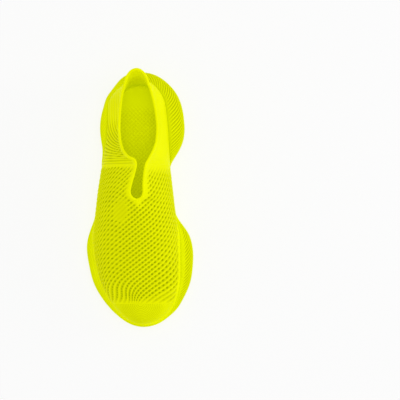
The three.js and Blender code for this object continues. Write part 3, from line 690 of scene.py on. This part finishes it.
def collar_wall():
    """Wall round the ankle and heel: deep curved ribs on the lateral side, smooth elsewhere."""
    columns = 330
    piece, uv = grid_sheet("collar_wall", columns, 110)
    side, s = around(uv[:, 0], LATTICE_END[0] - 0.004, LATTICE_END[1] - 0.004, 1.0)
    _, length = drop_to_share(side, s, np.zeros(len(s)))
    column = np.rint(uv[:, 0] * columns).astype(int)
    _, first_of = np.unique(column, return_index=True)
    fold = 1 - share_at_height(side[first_of], s[first_of], FOLD_Z - 0.15)[column]
    line = smooth(s, TAB, TAB + 0.02)
    w_top = 1 - line * fold
    w, _ = drop_to_share(side, s, (1 - uv[:, 1]) * length)
    w = np.minimum(w, w_top)
    drop = (1 - uv[:, 1]) * length
    y = station_y(s)
    plan = upper(side, s, w)
    strength = (smooth(drop, 3, 8) * smooth(length - drop, 1, 6) * (1 - 0.8 * smooth(y, 74, 102))
                * (0.55 + 0.45 * smooth(y, 42, 56))
                * (1 - smooth(y, 112, 130)) * smooth(s, LATTICE_END[0], LATTICE_END[0] + 0.005) * (side < 0))
    # The ribs start across the shoe and turn until they run along it.
    step = 0.5
    along = np.linspace(0, 160, 321)
    turn = np.radians(90 * smooth(along, 42, 97))
    run = np.concatenate([[0], np.cumsum(np.cos(turn[1:]) * step)])
    swept = (plan[:, 0] + 30) * np.sin(np.interp(y, along, turn)) + np.interp(y, along, run)
    crest = ribs(swept / COLLAR_RIB_PITCH, 0.7)
    rise = length - drop
    low_rib = smooth(rise, 0, 3) * (1 - smooth(rise, 9, 16)) * (side > 0) * smooth(y, 50, 70)
    fine = ribs(rise / HEEL_RIB_PITCH)
    start = station_y(np.where(side < 0, LATTICE_END[0], LATTICE_END[1]))
    sunk = COLLAR_SEAM_DEPTH * (1 - smooth(y - start, -1, 2.5))
    out = -COLLAR_RIB_DEPTH * strength * (1 - crest) - HEEL_RIB_DEPTH * low_rib * (1 - fine) - sunk
    put(piece, upper_at(side, s, w, out))
    # Painted shade in the grooves of the lateral ribs and of the fine medial ribs.
    paint(piece, 0.92 - 1.4 * strength * (1 - crest) - 0.2 * low_rib * (1 - fine))
    face_away(piece, lambda c: (0, 0.09 if c.y > 0.09 else c.y, 0.06))
    apply(piece, "SOLIDIFY", thickness=WALL * MM, offset=-1)
    return piece


LINING_START = 0.66  # station where the lining begins on both sides
LINING_WALL = 0.8


def heel_lining():
    """Smooth inner layer round the heel."""
    piece, uv = grid_sheet("heel_lining", 90, 24)
    side, s = around(uv[:, 0], LINING_START, LINING_START, 1.0)
    top = np.where(s > TAB, share_at_height(side, s, FOLD_Z - 3), 0.94)
    w = 0.05 + uv[:, 1] * (top - 0.05)
    put(piece, upper_at(side, s, w, -WALL - 0.3 + 1.5 * smooth(uv[:, 1], 0.7, 1)))
    # Painted a little darker all over as shade inside the heel.
    paint(piece, 0.7)
    face_away(piece, lambda c: (0, 0.09 if c.y > 0.09 else c.y, 0.06))
    apply(piece, "SOLIDIFY", thickness=LINING_WALL * MM, offset=-1)
    return piece


def heel_tab():
    """Pointed pull tab that leans back over the heel."""
    piece, uv = grid_sheet("pull_tab", 48, 18)
    side, s = around(uv[:, 0], TAB + 0.004, TAB + 0.004, 1.0)
    low = share_at_height(side, s, FOLD_Z + 0.1)
    w = low + (1 - low) * uv[:, 1]
    put(piece, upper_at(side, s, w))
    paint(piece, 0.95)
    face_away(piece, lambda c: (0, 0.09, 0.09))
    apply(piece, "SOLIDIFY", thickness=WALL * MM, offset=-1)
    return piece


BEAD_RADIUS = 1.45


def bead(name, sides_and_stations, around_count=12):
    """Round bead along the opening's edge."""
    line = np.concatenate([upper_at(np.full(len(s), side), s, np.ones(len(s)), -WALL / 2)
                           for side, s in sides_and_stations])
    keep = np.concatenate([[True], np.linalg.norm(np.diff(line, axis=0), axis=1) > 0.15])
    line = line[keep]
    run = np.concatenate([[0], np.cumsum(np.linalg.norm(np.diff(line, axis=0), axis=1))])
    columns = int(run[-1] / 1.1)
    at = np.linspace(0, run[-1], columns + 1)
    path = np.stack([np.interp(at, run, line[:, k]) for k in range(3)], 1)
    for _ in range(3):
        path[1:-1] = (path[:-2] + 2 * path[1:-1] + path[2:]) / 4
    along = unit(np.gradient(path, axis=0))
    level = unit(np.cross(along, (0, 0, 1.0)))
    upright = unit(np.cross(level, along))
    piece, uv = grid_sheet(name, columns, around_count)
    i = np.rint(uv[:, 0] * columns).astype(int)
    a = uv[:, 1] * 2 * np.pi
    put(piece, path[i] + BEAD_RADIUS * (np.cos(a)[:, None] * level[i] + np.sin(a)[:, None] * upright[i]))
    close_up(piece, outward=False)
    select_only(piece)
    bpy.ops.object.mode_set(mode="EDIT")
    bpy.ops.mesh.select_all(action="SELECT")
    bpy.ops.mesh.fill_holes(sides=0)
    bpy.ops.mesh.select_all(action="SELECT")
    bpy.ops.mesh.normals_make_consistent(inside=False)
    bpy.ops.object.mode_set(mode="OBJECT")
    paint(piece, 1.0)
    return piece


RAND_END = 0.465  # station where the band ends on both sides
RAND_BULGE, RAND_WALL = 1.9, 0.9


def toe_rand():
    """Smooth raised band along the foot of the upper, from the waist round the toe to the waist."""
    piece, uv = grid_sheet("toe_band", 240, 16)
    side, s = around(uv[:, 0], RAND_END, RAND_END, 0.0)
    ends = 1 - smooth(s, RAND_END - 0.06, RAND_END)
    wide = np.where(side < 0, 0.10, 0.16) * (0.55 + 0.45 * ends)
    w = 0.005 + uv[:, 1] * wide
    bulge = (1 - np.abs(2 * uv[:, 1] - 1) ** 3) * (0.25 + 0.75 * ends)
    put(piece, upper_at(side, s, w, -0.6 + RAND_BULGE * bulge))
    paint(piece, 0.95)
    face_away(piece, lambda c: (0, max(c.y, -0.09), 0.03))
    apply(piece, "SOLIDIFY", thickness=RAND_WALL * MM, offset=-1)
    return piece


# ------------------------------------------------------------------ sole
def sole_low(s):
    """Height of the sole's underside: toe spring, arch and heel bevel."""
    return ground_curve(s) + arch_curve(s)


def eased_outline():
    """The sole's widest line with eased corners, as offsets from the feather line with level normals."""
    count, steps, window, softness = 600, 1500, 40, 4.5
    s = np.linspace(0, 1, count)
    side = np.concatenate([np.full(count, LATERAL), np.full(count - 2, MEDIAL)])
    at = np.concatenate([s, s[-2:0:-1]])
    line = (feather(side, at) + feather_out(side, at) * flare(side, at)[:, None])[:, :2]
    step = np.linalg.norm(np.roll(line, -1, 0) - line, axis=1)
    run = np.concatenate([[0], np.cumsum(step)])
    even = np.linspace(0, run[-1], steps + 1)[:-1]
    closed = np.vstack([line, line[:1]])
    spaced = np.stack([np.interp(even, run, closed[:, k]) for k in range(2)], 1)
    spread = np.exp(-0.5 * (np.arange(-window, window + 1) * run[-1] / steps / softness) ** 2)
    spread /= spread.sum()
    wrapped = np.vstack([spaced[-window:], spaced, spaced[:window]])
    eased = np.stack([np.convolve(wrapped[:, k], spread, "valid") for k in range(2)], 1)
    along = unit(np.roll(eased, -1, 0) - np.roll(eased, 1, 0))
    out = np.stack([-along[:, 1], along[:, 0]], 1)
    if np.sum(out * eased) < 0:
        out = -out
    placed = np.stack([np.interp(run[:-1], even, eased[:, k], period=run[-1]) for k in range(2)], 1)
    facing = unit(np.stack([np.interp(run[:-1], even, out[:, k], period=run[-1]) for k in range(2)], 1))
    widest = placed - feather(side, at)[:, :2]
    tables = {}
    medial_rows = [0, *range(2 * count - 3, count - 1, -1), count - 1]
    for which, rows in ((LATERAL, slice(0, count)), (MEDIAL, medial_rows)):
        tables[which] = (widest[rows], facing[rows])
    return s, tables


OUTLINE_S, OUTLINE = eased_outline()


def sole_point(side, s, share, inset, z):
    """A point of the sole: a share of the way from the feather line to the widest line, less an inset."""
    side, s = np.broadcast_arrays(side, np.asarray(s, float))
    p = feather(side, s)
    for k in range(2):
        both = [np.interp(s, OUTLINE_S, OUTLINE[which][0][:, k]) * share
                - np.interp(s, OUTLINE_S, OUTLINE[which][1][:, k]) * inset for which in (LATERAL, MEDIAL)]
        p[..., k] += np.where(side < 0, both[0], both[1])
    p[..., 2] = z
    return p


SOLE_ROWS = 34
# Outer contour of the sole's side, from the ground up: share of the flare, inset, share of the height.
CONTOUR_V = np.array([0, 0.09, 0.2, 0.36, 0.5, 0.66, 0.78, 0.88, 0.94, 1.0])
CONTOUR = {
    "flare": np.array([1, 1, 1, 1, 1, 0.97, 0.78, 0.42, 0.12, 0]),
    "inset": np.array([12, 8.6, 4.2, 1.2, 0.0, 0, 0, 0, 0, 3.2]),
    "share": np.array([0, 0.03, 0.13, 0.34, 0.56, 0.8, 0.95, 1.0, 0.97, 0.95])}


def contour(name, v):
    """The eased contour at a share v of the way up the sole's side."""
    rows = np.linspace(0, 1, 201)
    line = np.interp(rows, CONTOUR_V, CONTOUR[name])
    for _ in range(120):
        line[1:-1] = (line[:-2] + 2 * line[1:-1] + line[2:]) / 4
    return np.interp(v, rows, line)


def perimeter():
    """Side and station as functions of the distance round the sole's widest line, and its whole length."""
    count = 800
    s = np.linspace(0, 1, count)
    runs = []
    for side in (LATERAL, MEDIAL):
        line = sole_point(np.full(count, side), s, 1, 0, 0)
        runs.append(np.concatenate([[0], np.cumsum(np.linalg.norm(np.diff(line, axis=0), axis=1))]))
    total = runs[0][-1] + runs[1][-1]

    def place(p):
        p = np.mod(p, total)
        lateral = p < runs[0][-1]
        return (np.where(lateral, LATERAL, MEDIAL),
                np.where(lateral, np.interp(p, runs[0], s), np.interp(total - p, runs[1], s)))

    return place, total


SOLE_RIB_PITCH, SOLE_RIB_DEPTH = 4.4, 1.5
SOLE_RIB_SLANT = 72.0  # how far a rib runs along the sole from its foot to its top


def midsole():
    """Sole body: two lobes that swell out past the upper, joined by a narrow arch, with slanting ribs."""
    place, total = perimeter()
    columns = 1800
    ribs_round = int(total / SOLE_RIB_PITCH)
    piece, uv = grid_sheet("midsole", columns, SOLE_ROWS)
    v = uv[:, 1]
    side, s = place(uv[:, 0] * total + SOLE_RIB_SLANT * (v - 0.5))
    f = flare(side, s)
    bottom = sole_low(s) + OUTSOLE + 0.3
    high = feather_z(s) - 0.3
    z = bottom + contour("share", v) * (high - bottom)
    turned_in = smooth(v, 0.955, 1)
    z = z * (1 - turned_in) + foot_z(s) * turned_in
    inner = np.where(s < 0.5, 0.83, 0.88)
    lobe = smooth(f, 1, 6) * smooth(v, 0.14, 0.3) * (1 - smooth(v, inner, inner + 0.07))
    lateral_heel = (side < 0) * smooth(s, 0.6, 0.7) * (1 - smooth(s, 0.88, 0.99))
    toe = 1 - smooth(s, 0.1, 0.22)
    lateral_ball = (side < 0) * (1 - smooth(s, 0.42, 0.6))
    strength = lobe * (1 - 0.7 * lateral_heel) * (1 - 0.5 * lateral_ball) * (1 - 0.75 * toe)
    crest = ribs(uv[:, 0] * ribs_round, 0.9)
    groove = SOLE_RIB_DEPTH * strength * (1 - crest)
    inset = contour("inset", v) * (1 - turned_in) + SEAT_INSET * turned_in
    z = z - 0.5 * groove * smooth(v, 0.6, 0.75)
    put(piece, sole_point(side, s, contour("flare", v), inset + groove, z))
    # Painted shade in the rib grooves and in the crease where the sole turns in under the upper.
    crease_shade = 0.25 * smooth(v, 0.88, 0.94) * (1 - smooth(v, 0.95, 1))
    paint(piece, 0.93 - 1.25 * strength * (1 - crest) - crease_shade)
    close_up(piece)
    close_ends(piece)
    return piece


def close_ends(piece):
    """Closes the open ends of a ring with faces and turns all faces outwards."""
    mesh = bmesh.new()
    mesh.from_mesh(piece.data)
    made = bmesh.ops.holes_fill(mesh, edges=[e for e in mesh.edges if e.is_boundary], sides=0)["faces"]
    bmesh.ops.triangulate(mesh, faces=made, ngon_method="BEAUTY")
    bmesh.ops.recalc_face_normals(mesh, faces=mesh.faces)
    mesh.to_mesh(piece.data)
    mesh.free()


def inside_outline(x, y, margin):
    """Whether a place on the ground lies inside the sole's ground outline by a margin."""
    s = station_at(y)
    low = sole_point(np.array([LATERAL]), np.array([s]), 1, GROUND_INSET + margin, 0)[0]
    high = sole_point(np.array([MEDIAL]), np.array([s]), 1, GROUND_INSET + margin, 0)[0]
    return low[0] < x < high[0]


LUG_RADIUS, LUG_HEIGHT = 4.4, 2.6
LUG_ACROSS, LUG_ALONG = 10.8, 9.4  # spacing of the lugs
LUG_MARGIN = 5.2  # room from a lug's middle to the pad's edge
PAD_THICKNESS = 1.5


def outsole(name, from_y, to_y):
    """Thin rubber pad under a lobe, with six-sided lugs in staggered rows."""
    s0, s1 = float(station_at(from_y)), float(station_at(to_y))
    piece, uv = grid_sheet(name, 20, 40)
    s = s0 + (s1 - s0) * uv[:, 1]
    edges = []
    for side in (LATERAL, MEDIAL):
        sides = np.full(len(s), side)
        edges.append(sole_point(sides, s, 1, GROUND_INSET + 0.6, sole_low(s) + OUTSOLE + 0.25))
    t = uv[:, 0][:, None]
    put(piece, edges[0] * (1 - t) + edges[1] * t)
    if piece.data.polygons[0].normal.z > 0:
        piece.data.flip_normals()
    apply(piece, "SOLIDIFY", thickness=PAD_THICKNESS * MM, offset=1)
    parts = [piece]
    clear_selection()
    bpy.ops.mesh.primitive_cylinder_add(vertices=6, radius=LUG_RADIUS * MM, depth=LUG_HEIGHT * MM)
    pattern = bpy.context.object
    bpy.ops.object.mode_set(mode="EDIT")
    bpy.ops.mesh.select_all(action="SELECT")
    bpy.ops.mesh.bevel(offset=0.5 * MM, segments=1)
    bpy.ops.object.mode_set(mode="OBJECT")
    row = 0
    y = from_y + 6
    while y < to_y - 5:
        x = -60.0 + (row % 2) * LUG_ACROSS / 2
        while x < 60:
            if inside_outline(x, y - 4, LUG_MARGIN) and inside_outline(x, y + 4, LUG_MARGIN):
                lug = pattern.copy()
                lug.data = pattern.data.copy()
                bpy.context.scene.collection.objects.link(lug)
                low = float(sole_low(station_at(y)))
                slope = float(sole_low(station_at(y + 1)) - sole_low(station_at(y - 1))) / 2
                lug.rotation_euler = (math.atan(slope), 0, 0)
                lug.location = (x * MM, y * MM, (low + LUG_HEIGHT / 2 + 4.2 * abs(slope)) * MM)
                parts.append(lug)
            x += LUG_ACROSS
        y += LUG_ALONG
        row += 1
    bpy.data.objects.remove(pattern)
    clear_selection()
    for part in parts:
        part.select_set(True)
    bpy.context.view_layer.objects.active = piece
    bpy.ops.object.join()
    paint(piece, 0.9)
    return piece


FOOTBED_PITCH = 2.35  # half the spacing of the pits along a row
FOOTBED_THICKNESS = 3.2
PIT_DEPTH = 1.0


def footbed():
    """Loose insole, slightly cupped, with small pits in staggered rows."""
    first, last = float(station_y(0.02)) + 4, float(station_y(1)) - 4.1
    rows = int((last - first) / FOOTBED_PITCH) + 2
    reach = 26
    low = -reach // 2
    count = 2 * ((rows + reach) // 2 + 1 - low)
    piece, uv = grid_sheet("insole", count, count)
    pq = np.rint(uv * count).astype(int) + 2 * low
    x = (pq[:, 0] - pq[:, 1]) / 2 * FOOTBED_PITCH
    y = first + (pq[:, 0] + pq[:, 1]) / 2 * FOOTBED_PITCH
    s_line = np.linspace(0, 1, 400)
    margin = SEAT_INSET + 0.9
    edge = {}
    for side in (LATERAL, MEDIAL):
        line = sole_point(np.full(400, side), s_line, 0, margin, 0)
        order = np.argsort(line[:, 1])
        edge[side] = np.interp(np.clip(y, first, last), line[order, 1], line[order, 0])
    inner = np.clip(x, edge[LATERAL], edge[MEDIAL])
    beyond = np.maximum.reduce([edge[LATERAL] - x, x - edge[MEDIAL], first - y, y - last])
    y_on = np.clip(y, first, last)
    half = np.maximum(edge[MEDIAL] - edge[LATERAL], 1) / 2
    off = np.abs(inner - (edge[MEDIAL] + edge[LATERAL]) / 2) / half
    s = station_at(y_on)
    heel_cup = smooth(y_on, last - 30, last + 4)
    z = foot_z(s) + 4.3 + 3.0 * off**4 * (1 - heel_cup) + 9 * heel_cup
    put(piece, xyz(inner, y_on, z))
    kind = (pq[:, 0] % 2) + 2 * (pq[:, 1] % 2)
    # Painted shade in the pits, a little lighter on the crossings, and the rest of the footbed at an even
    # middle level.
    dotted = smooth(-beyond, 3.5, 6.5) * (1 - smooth(y_on, 100, 114))
    paint(piece, 0.75 + (np.choose(kind, [0.85, 0.75, 0.75, 0.1]) - 0.75) * dotted)
    punch(piece, lambda corners: all(beyond[i] > 0.01 for i in corners), (kind == 3) & (beyond < -1),
          dotted, FOOTBED_PITCH * 0.31 * MM, PIT_DEPTH * MM)
    close_up(piece, outward=False, distance=0.15)
    drop_pinches(piece)
    if sum(f.normal.z * f.area for f in piece.data.polygons) < 0:
        piece.data.flip_normals()
    apply(piece, "SOLIDIFY", thickness=FOOTBED_THICKNESS * MM, offset=-1)
    return piece


# ------------------------------------------------------------------ camera, light, floor
def studio():
    """A camera straight above, two soft lamps, an even sky and a white floor."""
    centre_x = 0.0708  # the shoe stands to the left of the view's middle
    distance = 2.0
    view_width = 0.476
    sensor = 36
    camera = bpy.data.cameras.new("camera")
    camera.sensor_width = sensor
    camera.lens = sensor * distance / view_width
    eye = bpy.data.objects.new("camera", camera)
    eye.location = (centre_x, 0, distance)
    bpy.context.scene.collection.objects.link(eye)
    bpy.context.scene.camera = eye

    def area(name, place, target, size, power):
        light = bpy.data.lights.new(name, "AREA")
        light.shape = "DISK"
        light.size = size
        light.energy = power
        lamp = bpy.data.objects.new(name, light)
        lamp.location = place
        lamp.rotation_euler = (Vector(target) - Vector(place)).to_track_quat("-Z", "Y").to_euler()
        bpy.context.scene.collection.objects.link(lamp)

    area("top_light", (0.15, 0.1, 1.9), (0, 0, 0), 1.2, 8)
    area("side_light", (1.5, 0.2, 0.55), (0, 0, 0.05), 0.7, 3.2)
    world = bpy.data.worlds.new("studio")
    world.use_nodes = True
    sky = world.node_tree.nodes["Background"]
    sky.inputs["Color"].default_value = (1, 1, 1, 1)
    sky.inputs["Strength"].default_value = 0.59
    bpy.context.scene.world = world
    bpy.context.scene.view_settings.view_transform = "Standard"

    clear_selection()
    bpy.ops.mesh.primitive_plane_add(size=8, location=(0, 0, 0))
    floor = bpy.context.object
    floor.name = "floor"
    paper = bpy.data.materials.new("floor_paper")
    paper.use_nodes = True
    shader = paper.node_tree.nodes["Principled BSDF"]
    shader.inputs["Base Color"].default_value = (0.2, 0.2, 0.2, 1)
    shader.inputs["Emission Color"].default_value = (1, 1, 1, 1)
    shader.inputs["Emission Strength"].default_value = 0.79
    shader.inputs["Roughness"].default_value = 0.9
    floor.data.materials.append(paper)


studio()
finish(lattice_upper(), LATTICE_FINISH, "rearfoot", "lattice", "vamp_toe_box", "vamp_flex_gore",
       "vamp_instep", "quarter_lateral", "quarter_medial", bend=BALL_BEND)
finish(collar_wall(), SMOOTH_FINISH, "rearfoot", "lattice", "quarter_heel", bend=TAB_BEND)
finish(heel_lining(), SMOOTH_FINISH, "rearfoot", "counter", "heel_counter", bend=TAB_BEND)
finish(toe_cap(), TOE_FINISH, "forefoot", "toe", "toe_cap")
throat_run = THROAT + (station_at(TAB_Y - 0.8) - THROAT) * np.linspace(0, 1, 160) ** 1.8
finish(bead("collar_bead", [(LATERAL, throat_run[::-1]), (MEDIAL, throat_run[1:])]), SMOOTH_FINISH,
       "rearfoot", "rim", "collar_rim", bend=TAB_BEND)
tab_run = np.linspace(float(station_at(TAB_Y)), 1, 60)
finish(heel_tab(), SMOOTH_FINISH, "rearfoot", "rim", "heel_tab", bend=TAB_BEND)
finish(bead("pull_tab_bead", [(LATERAL, tab_run), (MEDIAL, tab_run[::-1][1:])]), SMOOTH_FINISH,
       "rearfoot", "rim", bend=TAB_BEND)
finish(toe_rand(), SMOOTH_FINISH, "rearfoot", "rand", "toe_rand", "ball_rand_lateral", "ball_rand_medial",
       bend=BALL_BEND)
finish(midsole(), SOLE_FINISH, "rearfoot", "midsole", "midsole_toe_pod", "midsole_ball_pod",
       "midsole_arch_bridge", "midsole_heel_pod", bend=BALL_BEND)
finish(outsole("forefoot_outsole", float(station_y(0.08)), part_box("outsole_ball")[1][1] / MM), TREAD_FINISH,
       "rearfoot", "outsole", "outsole_toe", "outsole_ball", bend=BALL_BEND)
finish(outsole("heel_outsole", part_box("outsole_heel")[0][1] / MM, float(station_y(0.95))), TREAD_FINISH,
       "rearfoot", "outsole", "outsole_heel")
finish(footbed(), FOOTBED_FINISH, "rearfoot", "footbed", "footbed", "footbed_toe", bend=BALL_BEND)
